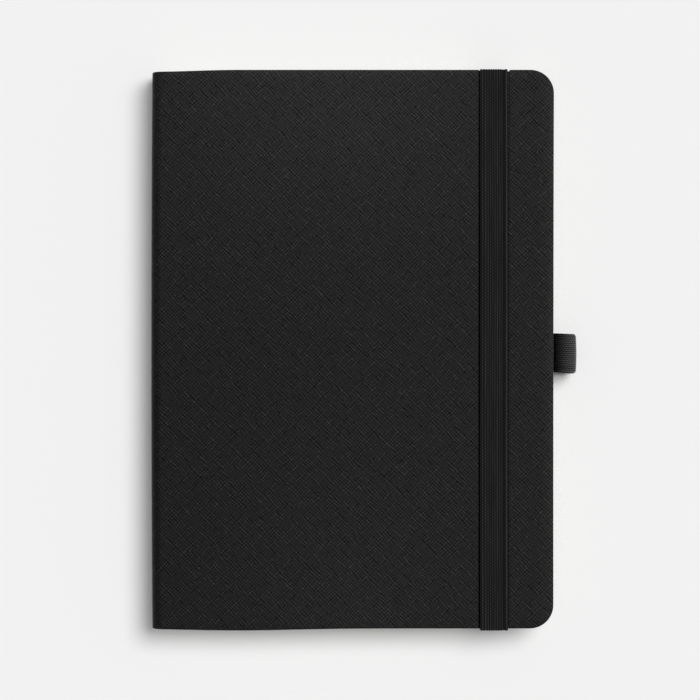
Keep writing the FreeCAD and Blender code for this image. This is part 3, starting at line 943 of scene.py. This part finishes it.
def closure_band():
    """From one glued end, round the covers' edges and over the front, to the other end."""
    y_out = HALF_Y + 0.06 + BAND_Z / 2
    z_top = BOOK_Z + 0.05 + BAND_Z / 2
    z_end = 1.31
    corners = [(HALF_Y - 16.9, z_end), (y_out, z_end), (y_out, z_top), (0.0, z_top)]
    head = rounded_path(corners, radii=[0.50, 0.62])[:-1]
    tail = [np.array((-y, z)) for y, z in head]
    path = subdivide(head + tail[::-1], longest=3.2)
    # over the front it follows the cover's pillow
    y = path[:, 0]
    weight = smooth_step((HALF_Y - np.abs(y)) / 20.0) * (path[:, 1] > BOOK_Z)
    path[:, 1] += weight * (pillow(BAND_X, y) + 0.01)
    borders = (BAND_BORDERS - BAND_NOMINAL_W / 2) * BAND_W / BAND_NOMINAL_W
    top, bottom, uv = ribbed_strip(path[::-1], borders, BAND_Z, "x", relief=0.20, rib_steps=8,
                                   selvedge=0.24, heights=BAND_RIB_HEIGHTS)
    for grid in (top, bottom):
        # it wavers a little sideways, and is drawn in with the head edge
        grid[..., 0] += BAND_X + 0.06 * np.sin(grid[..., 1] / 23.0)
        pressed = smooth_step((grid[..., 1] - HALF_Y + HEAD_PRESS) / HEAD_PRESS)
        grid[..., 1] -= 0.58 * pressed
    return build("closure_band_elastic", shell(top, bottom, uv), [BAND_ELASTIC], sharp=70)


attach(closure_band(), "elastic", "closure_band", "band_end_head", "band_end_tail",
       blend=("back_cover", "closure_band", (BAND_X, 0, 2.2), (BAND_X, 0, BOOK_Z - 0.8)))


def pen_loop():
    """From its tab in the back board's recess, round beyond the fore-edge and back to the neck."""
    radius = LOOP_R - 0.35
    neck = np.array([FORE_X + 0.9, 2.12])
    # tangents from the neck to the open ring
    distance = np.linalg.norm(LOOP_CENTRE - neck)
    towards = heading(LOOP_CENTRE - neck)
    spread = math.asin(radius / distance)
    tangent = math.sqrt(distance ** 2 - radius ** 2)
    low_point = neck + tangent * polar(towards - spread)
    high_point = neck + tangent * polar(towards + spread)
    start, end = heading(low_point - LOOP_CENTRE), heading(high_point - LOOP_CENTRE)
    if end < start:
        end += 2 * math.pi

    tab_end = FORE_X - 1.2
    rise = neck[1] - 0.10 - LOOP_TAB_Z
    path = [np.array([LOOP_TAB_X, LOOP_TAB_Z]), np.array([tab_end, LOOP_TAB_Z])]
    path += [np.array([tab_end + 2.1 * t, LOOP_TAB_Z + rise * smooth_step(t)])
             for t in np.linspace(0.1, 0.95, 8)]
    path += [LOOP_CENTRE + radius * polar(angle) for angle in np.linspace(start, end, 56)]
    last = neck + np.array([0.16, 0.62])
    path += [high_point + (last - high_point) * t for t in np.linspace(0.15, 1.0, 8)]
    path = subdivide(path, longest=1.2)[::-1]       # clockwise, so that the ribs face outwards

    top, bottom, uv = ribbed_strip(path, np.linspace(-1, 1, 20) * LOOP_HALF, LOOP_Z, "y",
                                   relief=0.15, rib_steps=7, selvedge=0.35)
    for grid in (top, bottom):
        # the free span widens very slightly, and its selvedges draw in towards the book
        free = smooth_step((grid[..., 0] - FORE_X) / 8.0)
        side = np.abs(grid[..., 1]) / LOOP_HALF
        curl = 0.28 * side ** 2 + 0.50 * smooth_step((side - 0.88) / 0.12)
        grid[..., 0] -= curl * smooth_step((grid[..., 0] - FORE_X - 4.0) / 5.0)
        grid[..., 1] = LOOP_Y + 0.32 - 0.38 * free + grid[..., 1] * (1 + 0.020 * free)
    return build("pen_loop_elastic", shell(top, bottom, uv), [LOOP_ELASTIC], sharp=70)


attach(pen_loop(), "elastic", "pen_loop", "pen_loop_tab",
       blend=("back_cover", "pen_loop", (FORE_X, LOOP_Y, 1.7), (FORE_X + 1.2, LOOP_Y, 3.4)))


# ---- CAD pieces kept as they are -------------------------------------------------------------------
KEPT_PIECES = {
    "sewing_thread_back": THREAD, "sewing_thread_front": THREAD, "centre_stitches": THREAD,
    "spine_mull": MULL, "spine_glue": GLUE, "headband": HEADBAND, "tailband": HEADBAND,
}
for node, material in KEPT_PIECES.items():
    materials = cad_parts[node].data.materials
    materials.clear()
    materials.append(material)


# ---- floor, light and camera, in metres ------------------------------------------------------------
def add_object(name, data):
    obj = bpy.data.objects.new(name, data)
    bpy.context.scene.collection.objects.link(obj)
    return obj


def add_floor(half=3.0, z=-0.0002):
    mesh = bpy.data.meshes.new("floor")
    corners = [(-half, -half, z), (half, -half, z), (half, half, z), (-half, half, z)]
    mesh.from_pydata(corners, [], [(0, 1, 2, 3)])
    pale = Material("pale_floor").shade((0.80, 0.80, 0.80, 1), roughness=0.9, specular=0.1)
    mesh.materials.append(pale)
    add_object("floor", mesh)


def add_world(light=0.21, camera_extra=0.66):
    """A dim, even surround as light, which the camera sees brighter by camera_extra."""
    world = bpy.data.worlds.new("studio")
    bpy.context.scene.world = world
    world.use_nodes = True
    tree = world.node_tree
    background = tree.nodes["Background"]
    background.inputs[0].default_value = (1, 1, 1, 1)
    ray = tree.nodes.new("ShaderNodeLightPath")
    strength = tree.nodes.new("ShaderNodeMath")
    strength.operation = "MULTIPLY_ADD"
    strength.inputs[1].default_value = camera_extra
    strength.inputs[2].default_value = light
    tree.links.new(ray.outputs["Is Camera Ray"], strength.inputs[0])
    tree.links.new(strength.outputs[0], background.inputs[1])


def add_sun(name, towards, energy, angle):
    """towards: direction from the book to the sun. angle: its width in degrees."""
    data = bpy.data.lights.new(name, "SUN")
    data.energy, data.angle = energy, math.radians(angle)
    sun = add_object(name, data)
    sun.rotation_mode = "QUATERNION"
    sun.rotation_quaternion = (-Vector(towards)).to_track_quat("-Z", "Y")


def add_camera():
    """Looks straight down from one metre above the front cover."""
    data = bpy.data.cameras.new("camera")
    data.sensor_width = 36
    data.lens = 134.35
    data.clip_end = 10
    camera = add_object("camera", data)
    camera.location = (-0.00088, -0.00033, BOOK_Z * MM + 1.0)
    camera.rotation_euler = (0, 0, 0)
    bpy.context.scene.camera = camera


add_floor()
add_world()
add_sun("key", towards=(0.45, 0.36, 1.0), energy=2.55, angle=34)
add_sun("overhead", towards=(0.05, 0.06, 1.0), energy=0.62, angle=8)
bpy.context.scene.view_settings.view_transform = "Standard"
add_camera()
